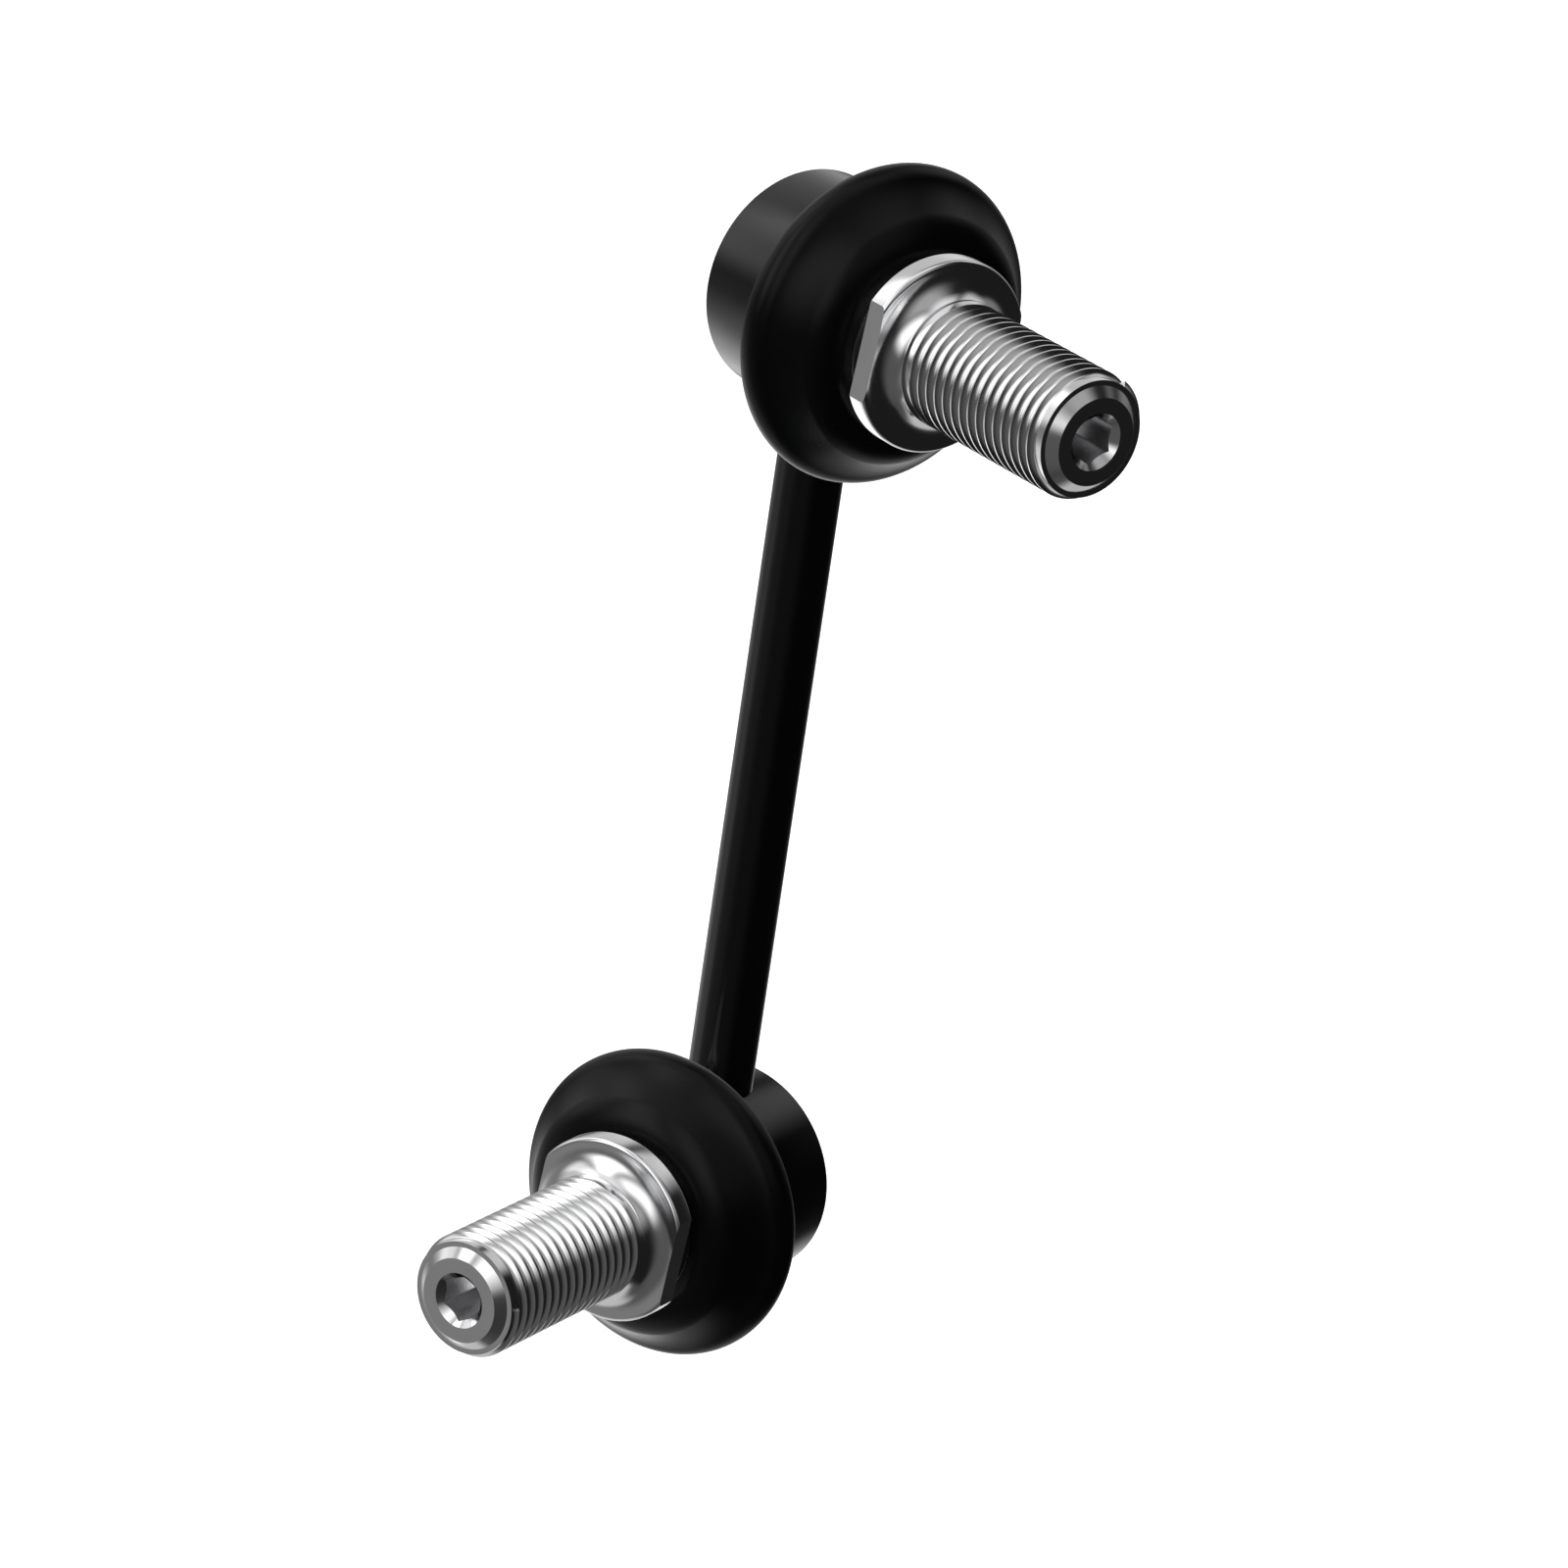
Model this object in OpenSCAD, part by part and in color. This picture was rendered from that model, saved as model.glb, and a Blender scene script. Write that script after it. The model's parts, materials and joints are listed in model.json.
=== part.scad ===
// Stabilizer link: a slim rod with a ball joint set across each end.
// Each end is a deep cup that holds a ball stud in a slit bearing shell, closed by a ring
// under the cup's rolled edge and sealed by a rubber boot.
// The origin is the centre of the lower stud's seat face. +X runs out along the lower stud
// and +Z runs up along the rod. Millimetres.

/* [Link] */
// Distance between the two stud axes, along the rod
pin_span = 91; // [60:0.5:320]
// Angle from the lower stud to the upper stud, seen from above
stud_twist = 70; // [0:1:180]
// Diameter of the rod
rod_d = 6.5; // [5:0.1:8]

/* [Ball joint] */
// Diameter of the stud's ball
ball_d = 14; // [12:0.1:16]
// Wall of the bearing shell beside the ball
shell_wall = 1.97; // [1.5:0.01:2.5]
// Thickness of the bearing shell behind the ball
shell_base = 1.15; // [0.8:0.05:2]
// Distance from the ball's centre to the bearing shell's shoulder
shell_shoulder = 2.6; // [2:0.1:3.4]
// Height of the bearing shell's nose above its shoulder
shell_nose = 0.7; // [0.4:0.05:0.85]
// Number of slit planes across the bearing shell, each giving two slits
shell_slit_planes = 3; // [2:1:4]
// Width of a slit in the bearing shell
shell_slit = 1; // [0.6:0.1:1.5]
// Thickness of the closing ring
ring_t = 0.9; // [0.6:0.05:1.5]
// How much wider the closing ring's hole is than the ball, on each side
ring_pass = 0.3; // [0.2:0.05:0.5]

/* [Cup] */
// Side wall of the cup
cup_wall = 1.7; // [1.3:0.05:2.5]
// Back wall of the cup
cup_base = 1.4; // [1:0.05:2.5]
// Depth of the cup behind the rod's axis
cup_back = 5.6; // [5:0.1:7]
// Thickness of the cup's rolled front edge
cup_lip_t = 0.8; // [0.5:0.05:1.2]
// How far the rolled edge reaches in over the closing ring
cup_lip_w = 1.15; // [0.6:0.05:1.4]
// Radius rolled on the cup's front corner
cup_roll = 0.8; // [0.3:0.05:1.2]
// Edge break round the cup's back
cup_edge = 0.25; // [0.1:0.05:0.6]
// Depth of the groove that keys the boot
cup_groove = 0.4; // [0.2:0.05:0.7]

/* [Stud] */
// Thread size, as the stud's outside diameter
thread_d = 12; // [10:0.5:14]
// Depth of the thread
thread_depth = 0.64; // [0.4:0.01:0.9]
// Distance from one turn of the thread to the next
thread_pitch = 1.25; // [1:0.25:1.75]
// Width of the flat left on the crest of each turn
thread_crest = 0.15; // [0.1:0.01:0.25]
// Distance from the cup's front edge to the stud's seat face
stand_off = 8.7; // [8:0.1:11]
// Distance from the seat face to the stud's tip
stud_reach = 22.7; // [16:0.1:40]
// Diameter of the flange behind the thread
flange_d = 18.4; // [17.5:0.1:24]
// Thickness of the flange
flange_t = 2.2; // [1.2:0.05:3]
// Distance across the flange's two wrench flats
flange_flats = 16; // [14.5:0.1:17]
// Turn of the wrench flats round the stud, from the rod's direction
flats_turn = -5.5; // [-30:0.5:30]
// Radius rounded on the front edge of the flange
flange_edge = 0.45; // [0.1:0.05:0.6]
// Width that the flat seat ring keeps between the hollow fillet and each wrench flat
seat_bridge = 0.6; // [0.1:0.05:0.8]
// Length of the hollow fillet between the seat ring and the thread
root_len = 2.8; // [1:0.1:4]
// Diameter of the neck beside the ball
neck_d = 7.8; // [6:0.1:8]
// Diameter of the land that the boot's neck slides on
land_d = 13; // [11:0.1:14]
// Length of that land
land_len = 2.2; // [1.8:0.1:2.6]
// Length of the flare from the neck to the land
flare_len = 1.9; // [1:0.1:2.5]
// Length of the tip's point ahead of the thread
tip_len = 0.8; // [0.4:0.05:2]
// Width of the flat step where the thread ends
tip_step = 0.36; // [0.1:0.01:0.8]
// Diameter of the flat end face
tip_face_d = 8.24; // [7:0.02:9.6]
// Hexagon socket, across flats
hex_flats = 4; // [3:0.5:5]
// Depth of the hexagon socket
hex_depth = 6; // [3:0.5:10]
// Diameter of the socket's countersunk mouth
hex_mouth_d = 5.4; // [5:0.1:6.5]

/* [Boot] */
// Wall of the rubber boot
boot_wall = 1.3; // [0.8:0.05:1.6]
// Distance from the cup's side to the middle of the boot's rolled rim
rim_stand = 2.45; // [2.2:0.05:3.5]
// Radius of the rolled rim's section
rim_tube = 2.15; // [1.8:0.05:2.6]
// Distance from the cup's front edge back to the middle of the rim
rim_setback = 0.8; // [0.3:0.1:1.4]
// Thickness of the cuff that grips the cup
cuff_t = 1.25; // [1:0.05:1.6]
// Gap between the rod and the back of the cuff
cuff_gap = 0.35; // [0.2:0.05:0.8]
// Width of the cuff's plain edges, beside its bead
cuff_lip = 0.6; // [0.4:0.05:0.8]
// Rubber left round the stud at the boot's neck
neck_wall = 0.7; // [0.6:0.05:1]
// Distance from the flange back to the top of the boot's dome
dome_drop = 1.05; // [1:0.05:1.6]
// Radius at which the boot's dome ends at its top
dome_top_r = 8.6; // [8.2:0.1:9.2]
// Angle round the rim's section at which the dome takes over
dome_angle = 98; // [85:1:115]
// Wire of the clamp ring round the cuff
clamp_wire = 1.2; // [0.8:0.05:1.4]
// Depth at which the clamp ring beds into the cuff
clamp_bed = 0.4; // [0.1:0.05:0.6]
// Wire of the ring round the boot's neck
neck_wire = 0.8; // [0.6:0.05:0.9]

/* [Fits] */
// Radial play of the ball in its bearing shell
ball_play = 0.05; // [0.02:0.01:0.1]
// Radial play of pieces pressed into the cup
press_play = 0.03; // [0.01:0.01:0.06]
// Radial play between the rubber boot and the metal
boot_play = 0.05; // [0.02:0.01:0.1]
// Space between the boot's neck and the flange
neck_space = 0.1; // [0.05:0.05:0.3]

/* [Hidden] */
$fn = 96;

STEEL = "#c9cbcf";
BLACK_STEEL = "#2a2b2e";
RUBBER = "#17181a";
NYLON = "#e8e2d0";
WIRE = "#3a3b3f";

// Slack that lets a cut pass clean through a face
cut = 0.5;

// Radii of the ball joint, from the ball outwards
ball_r = ball_d / 2;
cavity_r = ball_r + ball_play;
shell_r = cavity_r + shell_wall;
bore_r = shell_r + press_play;
cup_r = bore_r + cup_wall;
ring_hole_r = ball_r + ring_pass;
nose_r = ring_hole_r - press_play;
lip_r = bore_r - cup_lip_w;

// Places along the stud, measured from the rod's axis
cup_floor_z = cup_base - cup_back;
ball_z = cup_floor_z + shell_base + cavity_r;
shoulder_z = ball_z + shell_shoulder;
nose_z = shoulder_z + shell_nose;
lip_z = shoulder_z + ring_t;
cup_front_z = lip_z + cup_lip_t;
seat_z = cup_front_z + stand_off;
flange_back_z = seat_z - flange_t;
land_z = flange_back_z - land_len;
flare_z = land_z - flare_len;
tip_z = seat_z + stud_reach;
step_z = tip_z - tip_len;

// Radii of the stud
thread_r = thread_d / 2;
flange_r = flange_d / 2;
land_r = land_d / 2;
neck_r = neck_d / 2;
core_r = thread_r - thread_depth;
seat_in_r = flange_flats / 2 - seat_bridge;

// Places and radii of the boot
rim_r = cup_r + rim_stand;
rim_z = cup_front_z - rim_setback;
cuff_z = rod_d / 2 + cuff_gap;
cuff_in_r = cup_r + boot_play;
cuff_out_r = cuff_in_r + cuff_t;
floor_tube = rim_tube - boot_wall;
floor_z = rim_z - floor_tube;
bead_z = [cuff_z + cuff_lip, floor_z - cuff_lip];
clamp_r = cuff_out_r - clamp_bed + clamp_wire / 2;
clamp_z = cuff_z + cuff_lip + clamp_wire / 4;
dome_z = flange_back_z - dome_drop;
neck_in_r = land_r + boot_play;
neck_out_r = neck_in_r + neck_wall;
neck_z = flange_back_z - neck_space;
valley = [rim_r + rim_tube * cos(dome_angle), rim_z + rim_tube * sin(dome_angle)];

// Points on part of an ellipse round c, from angle a0 to a1
function oval(c, rx, ry, a0, a1, n) = [
    for (i = [0:n])
        let (a = a0 + (a1 - a0) * i / n)
        [c[0] + rx * cos(a), c[1] + ry * sin(a)]
];

// Points on part of a circle round c
function arc(c, r, a0, a1, n) = oval(c, r, r, a0, a1, n);

// Points on a soft bend from p0 to p2 that leans into the corner p1
function bend(p0, p1, p2, n) = [
    for (i = [0:n])
        let (t = i / n)
        (1 - t) * (1 - t) * p0 + 2 * t * (1 - t) * p1 + t * t * p2
];

// Places a piece drawn along +Z onto the lower stud's axis
module at_lower() {
    translate([-seat_z, 0, 0])
        rotate([0, 90, 0])
            children();
}

// Places a piece drawn along +Z onto the upper stud's axis
module at_upper() {
    translate([-seat_z, 0, pin_span])
        rotate([0, 0, stud_twist])
            rotate([0, 90, 0])
                children();
}

// A round wire bent into a ring
module wire_ring(ring_r, wire_d, z) {
    translate([0, 0, z])
        rotate_extrude()
            translate([ring_r, 0])
                circle(d = wire_d, $fn = 32);
}

// The outside of a cup, used to shape the rod's ends to it
module cup_outside() {
    translate([0, 0, -cup_back])
        cylinder(h = cup_back + cup_front_z, r = cup_r);
}

// Deep cup: plain outside with a groove for the boot, rolled front edge
module housing() {
    outside = concat(
        [[0, -cup_back], [cup_r - cup_edge, -cup_back], [cup_r, cup_edge - cup_back]],
        [[cup_r, bead_z[0]], [cup_r - cup_groove, bead_z[0]]],
        [[cup_r - cup_groove, bead_z[1]], [cup_r, bead_z[1]]],
        arc([cup_r - cup_roll, cup_front_z - cup_roll], cup_roll, 0, 90, 8)
    );
    inside = [
        [lip_r, cup_front_z], [lip_r, lip_z], [bore_r, lip_z],
        [bore_r, cup_floor_z], [0, cup_floor_z],
    ];
    color(BLACK_STEEL)
        rotate_extrude()
            polygon(concat(outside, inside));
}

// Bearing shell: wraps the ball past its middle, slit from the front so that it snaps on
module ball_seat() {
    slit_z = ball_z - shell_slit;
    color(NYLON)
        difference() {
            union() {
                translate([0, 0, cup_floor_z])
                    cylinder(h = shoulder_z - cup_floor_z, r = shell_r);
                translate([0, 0, shoulder_z - cut])
                    cylinder(h = shell_nose + cut, r = nose_r);
            }
            translate([0, 0, ball_z])
                sphere(r = cavity_r);
            for (i = [0:shell_slit_planes - 1])
                rotate([0, 0, 180 * i / shell_slit_planes])
                    translate([-shell_r - cut, -shell_slit / 2, slit_z])
                        cube([2 * (shell_r + cut), shell_slit, nose_z - slit_z + cut]);
        }
}

// Closing ring: slips over the ball and keeps the bearing shell down in the cup
module closing_ring() {
    color(STEEL)
        translate([0, 0, shoulder_z])
            difference() {
                cylinder(h = ring_t, r = bore_r - press_play);
                translate([0, 0, -cut])
                    cylinder(h = ring_t + 2 * cut, r = ring_hole_r);
            }
}

// Outline of the thread between two places, as one even groove for each turn
function thread_turns(z0, z1) =
    let (turns = round((z1 - z0) / thread_pitch))
    let (turn = (z1 - z0) / turns)
    let (flank = thread_depth * tan(30))
    [
        for (i = [0:turns - 1])
            let (near = z0 + i * turn + thread_crest / 2)
            let (far = near + turn - thread_crest)
            each [[thread_r, near], [core_r, near + flank], [core_r, far - flank], [thread_r, far]]
    ];

// The stud's turned outline from its neck to its tip
module stud_turning() {
    neck_foot = ball_z + ball_r / 2;
    root_rise = seat_in_r - thread_r;
    root_z = seat_z + root_len;
    thread_end_z = step_z - thread_depth;
    rotate_extrude()
        polygon(concat(
            [[0, neck_foot], [neck_r, neck_foot], [neck_r, flare_z]],
            [[land_r, land_z], [land_r, flange_back_z], [flange_r, flange_back_z]],
            arc([flange_r - flange_edge, seat_z - flange_edge], flange_edge, 0, 90, 5),
            oval([seat_in_r, root_z], root_rise, root_len, 270, 180, 12),
            thread_turns(root_z, thread_end_z),
            [[thread_r, thread_end_z], [core_r, step_z]],
            [[core_r - tip_step, step_z], [tip_face_d / 2, tip_z], [0, tip_z]]
        ));
}

// Countersunk hexagon socket in the stud's tip, one corner along the rod
module hex_socket() {
    mouth = (hex_mouth_d - hex_flats) / 2;
    translate([0, 0, tip_z - hex_depth])
        linear_extrude(hex_depth + cut)
            circle(d = hex_flats / cos(30), $fn = 6);
    translate([0, 0, tip_z - mouth])
        cylinder(h = mouth + cut, r1 = hex_flats / 2, r2 = hex_mouth_d / 2 + cut);
}

// Ball stud: ball, neck, boot land, flange with two flats, threaded shank
module ball_stud() {
    color(STEEL)
        difference() {
            union() {
                translate([0, 0, ball_z])
                    sphere(r = ball_r);
                stud_turning();
            }
            for (turn = [flats_turn, flats_turn + 180])
                rotate([0, 0, turn])
                    translate([-flange_d, flange_flats / 2, flange_back_z - cut])
                        cube([2 * flange_d, flange_d, flange_t + 2 * cut]);
            hex_socket();
        }
}

// Rubber boot: cuff with a bead on the cup, rolled rim, dome, and a neck round the stud
module dust_boot() {
    rim = [rim_r, rim_z];
    foot_angle = -180 + acos((rim_r - cuff_out_r) / rim_tube);
    crown = oval([dome_top_r, valley[1]], valley[0] - dome_top_r, dome_z - valley[1], 14, 90, 14);
    rim_outer = arc(rim, rim_tube, foot_angle, dome_angle - 16, 26);
    rim_end = rim_outer[len(rim_outer) - 1];
    inner_x = valley[0] - boot_wall - dome_top_r;
    inner_y = dome_z - boot_wall - valley[1];
    outside = concat(
        [[cuff_in_r, cuff_z], [cuff_out_r, cuff_z]],
        rim_outer,
        bend(rim_end, valley, crown[0], 6),
        crown,
        [[neck_out_r, dome_z], [neck_out_r, neck_z], [neck_in_r, neck_z]]
    );
    inside = concat(
        [[neck_in_r, dome_z - boot_wall]],
        oval([dome_top_r, valley[1]], inner_x, inner_y, 90, 0, 12),
        arc(rim, floor_tube, 130, -90, 12),
        [[cuff_in_r, floor_z], [cuff_in_r, bead_z[1] - boot_play]],
        [[cuff_in_r - cup_groove, bead_z[1] - boot_play]],
        [[cuff_in_r - cup_groove, bead_z[0] + boot_play], [cuff_in_r, bead_z[0] + boot_play]]
    );
    color(RUBBER)
        rotate_extrude()
            difference() {
                polygon(concat(outside, inside));
                translate([clamp_r, clamp_z])
                    circle(r = clamp_wire / 2 + boot_play, $fn = 32);
            }
}

// Wire ring that clamps the cuff onto the cup
module boot_clamp_ring() {
    color(WIRE)
        wire_ring(clamp_r, clamp_wire, clamp_z);
}

// Wire ring that closes the boot's neck behind the flange
module boot_neck_ring() {
    color(WIRE)
        wire_ring(neck_out_r + neck_wire / 2 + boot_play, neck_wire, dome_z + neck_wire / 2 + boot_play);
}

// Straight rod, its ends shaped to the two cups that it is welded to
module link_rod() {
    color(BLACK_STEEL)
        difference() {
            translate([-seat_z, 0, 0])
                cylinder(h = pin_span, d = rod_d);
            at_lower() cup_outside();
            at_upper() cup_outside();
        }
}

module lower_housing() { at_lower() housing(); }
module lower_ball_seat() { at_lower() ball_seat(); }
module lower_closing_ring() { at_lower() closing_ring(); }
module lower_ball_stud() { at_lower() ball_stud(); }
module lower_dust_boot() { at_lower() dust_boot(); }
module lower_boot_clamp_ring() { at_lower() boot_clamp_ring(); }
module lower_boot_neck_ring() { at_lower() boot_neck_ring(); }

module upper_housing() { at_upper() housing(); }
module upper_ball_seat() { at_upper() ball_seat(); }
module upper_closing_ring() { at_upper() closing_ring(); }
module upper_ball_stud() { at_upper() ball_stud(); }
module upper_dust_boot() { at_upper() dust_boot(); }
module upper_boot_clamp_ring() { at_upper() boot_clamp_ring(); }
module upper_boot_neck_ring() { at_upper() boot_neck_ring(); }

link_rod();
lower_housing();
lower_ball_seat();
lower_closing_ring();
lower_ball_stud();
lower_dust_boot();
lower_boot_clamp_ring();
lower_boot_neck_ring();
upper_housing();
upper_ball_seat();
upper_closing_ring();
upper_ball_stud();
upper_dust_boot();
upper_boot_clamp_ring();
upper_boot_neck_ring();
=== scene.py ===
"""Dressed model of a stabilizer link: rod, two cups, two rubber boots and two threaded ball studs."""

import json
import logging
import math
from collections.abc import Mapping
from dataclasses import dataclass, field
from enum import Enum
from typing import Any

import bmesh
import bpy
from mathutils import Matrix, Vector

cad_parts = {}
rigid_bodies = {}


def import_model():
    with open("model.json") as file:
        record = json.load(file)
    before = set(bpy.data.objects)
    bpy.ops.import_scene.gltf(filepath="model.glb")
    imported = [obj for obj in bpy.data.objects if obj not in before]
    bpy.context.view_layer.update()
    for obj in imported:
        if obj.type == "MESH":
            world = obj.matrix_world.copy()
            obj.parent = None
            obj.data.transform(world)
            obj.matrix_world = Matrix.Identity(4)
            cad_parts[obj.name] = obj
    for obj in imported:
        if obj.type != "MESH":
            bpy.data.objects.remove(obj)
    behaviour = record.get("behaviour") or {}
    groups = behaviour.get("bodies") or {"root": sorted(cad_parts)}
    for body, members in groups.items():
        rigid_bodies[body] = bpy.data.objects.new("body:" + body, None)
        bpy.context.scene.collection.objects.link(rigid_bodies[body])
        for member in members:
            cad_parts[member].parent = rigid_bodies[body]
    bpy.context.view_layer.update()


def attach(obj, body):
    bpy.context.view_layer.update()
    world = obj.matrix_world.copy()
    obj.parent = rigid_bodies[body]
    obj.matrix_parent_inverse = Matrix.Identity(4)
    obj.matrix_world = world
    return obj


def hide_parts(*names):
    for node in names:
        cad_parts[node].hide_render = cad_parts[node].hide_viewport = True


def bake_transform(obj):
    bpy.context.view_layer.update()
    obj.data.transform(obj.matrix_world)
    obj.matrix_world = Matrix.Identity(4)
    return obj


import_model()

LOG = logging.getLogger("stabilizer_link")

Point = tuple[float, float]
Outline = list[Point]
Colour = tuple[float, float, float]

# Sizes of pieces are in millimetres, and this takes them to metres
MM = 0.001
# Facets round a turned piece
ROUND = 160
# Edges sharper than this stay crisp
CRISP = math.radians(25.0)
# Distance from the rod's axis to a stud's seat face
SEAT = 17.0
# Distance between the two stud axes
PIN_SPAN = 91.0
# Angle from the lower stud to the upper one
STUD_TWIST = 70.0
# Outside radius of the cups
CUP_RADIUS = 10.75
# Points nearer to a turned piece's axis than this lie on it
NEAR_AXIS = 1e-6
# Largest share of a side that a rounded corner takes
CORNER_SHARE = 0.45


class End(Enum):
    """The two ends of the link."""

    LOWER = "lower"
    UPPER = "upper"

    @property
    def turn(self) -> float:
        """Angle of this end's stud round the rod, in radians."""
        return math.radians(STUD_TWIST) if self is End.UPPER else 0.0

    @property
    def origin(self) -> Vector:
        """Point where the stud's axis crosses the rod's, in metres."""
        height = PIN_SPAN if self is End.UPPER else 0.0
        return Vector((-SEAT, 0.0, height)) * MM

    @property
    def axes(self) -> Matrix:
        """Rotation that lays a piece drawn along +Z onto this end's stud."""
        return Matrix.Rotation(self.turn, 4, "Z") @ Matrix.Rotation(math.pi / 2, 4, "Y")

    @property
    def place(self) -> Matrix:
        """Matrix from a piece drawn along +Z in millimetres to the part, in metres."""
        return Matrix.Translation(self.origin) @ self.axes @ Matrix.Scale(MM, 4)

    def on_axis(self, distance: float) -> Vector:
        """Point on the stud's axis at a distance in millimetres from the rod's axis."""
        return self.place @ Vector((0.0, 0.0, distance))

    def named(self, piece: str) -> str:
        """Name of a piece, node or body at this end."""
        return f"{self.value}_{piece}"


class Sock:
    """A node's output that takes part in Python arithmetic."""

    def __init__(self, board: "Board", socket: bpy.types.NodeSocket) -> None:
        """Keeps the socket and the board that it stands on."""
        self.board = board
        self.socket = socket

    def other(self, name: str) -> "Sock":
        """Another output of the same node."""
        return Sock(self.board, self.socket.node.outputs[name])

    def _with(self, operation: str, first: Any, second: Any) -> "Sock":
        """Adds one Math node.

        Args:
            operation: The Math node's operation.
            first: Left value or socket.
            second: Right value or socket.

        Returns:
            The node's result.
        """
        return self.board.node("ShaderNodeMath", {"operation": operation}, {0: first, 1: second})

    def __add__(self, other: Any) -> "Sock":
        """Sum."""
        return self._with("ADD", self, other)

    def __radd__(self, other: Any) -> "Sock":
        """Sum, from the right."""
        return self._with("ADD", other, self)

    def __sub__(self, other: Any) -> "Sock":
        """Difference."""
        return self._with("SUBTRACT", self, other)

    def __rsub__(self, other: Any) -> "Sock":
        """Difference, from the right."""
        return self._with("SUBTRACT", other, self)

    def __mul__(self, other: Any) -> "Sock":
        """Product."""
        return self._with("MULTIPLY", self, other)

    def __rmul__(self, other: Any) -> "Sock":
        """Product, from the right."""
        return self._with("MULTIPLY", other, self)

    def __truediv__(self, other: Any) -> "Sock":
        """Quotient."""
        return self._with("DIVIDE", self, other)

    def __rtruediv__(self, other: Any) -> "Sock":
        """Quotient, from the right."""
        return self._with("DIVIDE", other, self)

    def __pow__(self, other: Any) -> "Sock":
        """Power."""
        return self._with("POWER", self, other)

    def __rpow__(self, other: Any) -> "Sock":
        """Power, from the right."""
        return self._with("POWER", other, self)

    def __abs__(self) -> "Sock":
        """Size without sign."""
        return self._with("ABSOLUTE", self, 0.0)

    def capped(self, limit: float) -> "Sock":
        """The value, or a limit where the value is larger."""
        return self._with("MINIMUM", self, limit)


class Board:
    """A node tree that is filled from Python."""

    def __init__(self, tree: bpy.types.NodeTree) -> None:
        """Keeps the tree and empties it."""
        self.tree = tree
        tree.nodes.clear()

    def node(
        self,
        kind: str,
        settings: Mapping[str, Any] | None = None,
        inputs: Mapping[int | str, Any] | None = None,
        output: int | str = 0,
    ) -> Sock:
        """Adds any node.

        Args:
            kind: The node's type.
            settings: The node's own settings, set first.
            inputs: Values or sockets for its inputs, by name or number.
            output: The output to hand back.

        Returns:
            That output, or the first input of a node that has no outputs.
        """
        made = self.tree.nodes.new(kind)
        for name, value in (settings or {}).items():
            setattr(made, name, value)
        for name, value in (inputs or {}).items():
            if isinstance(value, Sock):
                self.tree.links.new(value.socket, made.inputs[name])
            else:
                made.inputs[name].default_value = value
        if len(made.outputs) == 0:
            return Sock(self, made.inputs[0])
        return Sock(self, made.outputs[output])

    def noise(self, at: Sock, scale: float, detail: float) -> Sock:
        """Fractal noise from 0 to 1, with features of one part in scale of a metre."""
        return self.node("ShaderNodeTexNoise", {}, {"Vector": at, "Scale": scale, "Detail": detail}, "Fac")

    def bump(self, height: Sock, strength: float, depth: float) -> Sock:
        """Normal of a surface that a pattern raises by up to a depth in metres."""
        return self.node("ShaderNodeBump", {}, {"Strength": strength, "Distance": depth, "Height": height})

    def mix_colour(self, share: Sock, first: Colour, second: Colour) -> Sock:
        """Mixes two colours by a share from 0 to 1."""
        # The Mix node's colours are its inputs 6 and 7 and its output 2
        inputs = {"Factor": share, 6: (*first, 1.0), 7: (*second, 1.0)}
        return self.node("ShaderNodeMix", {"data_type": "RGBA"}, inputs, 2)


def shaded(colour: Colour, share: float) -> Colour:
    """A colour made lighter or darker by a share."""
    return tuple(channel * share for channel in colour)


def swing(pattern: Sock, width: float) -> Sock:
    """A pattern from 0 to 1, made to swing round zero over a width."""
    return (pattern - 0.5) * width


@dataclass(frozen=True)
class Finish:
    """A surface finish, made as a procedural material."""

    name: str
    slot: str
    colour: Colour
    rough: float

    def surface(self, board: Board, at: Sock) -> Mapping[str, Any]:
        """Shader inputs of this finish.

        Args:
            board: The material's nodes.
            at: Position on the piece, in metres.

        Returns:
            Values or sockets of the main shader, by name.
        """
        raise NotImplementedError

    def tint(self, board: Board, pattern: Sock, dark: float, light: float) -> Sock:
        """The finish's colour, varied by a pattern between a dark and a light share of itself."""
        return board.mix_colour(pattern, shaded(self.colour, dark), shaded(self.colour, light))

    def material(self, end: End | None = None) -> bpy.types.Material:
        """Makes the material once, or hands back the one that is there.

        Args:
            end: The end whose stud the pattern turns about, if it turns about one.

        Returns:
            The material.
        """
        name = self.name if end is None else end.named(self.name)
        there = bpy.data.materials.get(name)
        if there is not None:
            return there
        made = bpy.data.materials.new(name)
        made.use_nodes = True
        board = Board(made.node_tree)
        at = board.node("ShaderNodeTexCoord", {}, {}, "Object")
        if end is not None:
            on_stud = {"Vector": at, "Location": end.origin, "Rotation": end.axes.to_euler()}
            at = board.node("ShaderNodeMapping", {"vector_type": "TEXTURE"}, on_stud)
        shader = board.node("ShaderNodeBsdfPrincipled", {}, self.surface(board, at))
        board.node("ShaderNodeOutputMaterial", {}, {"Surface": shader})
        made.diffuse_color = (*self.colour, 1.0)
        return made


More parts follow.
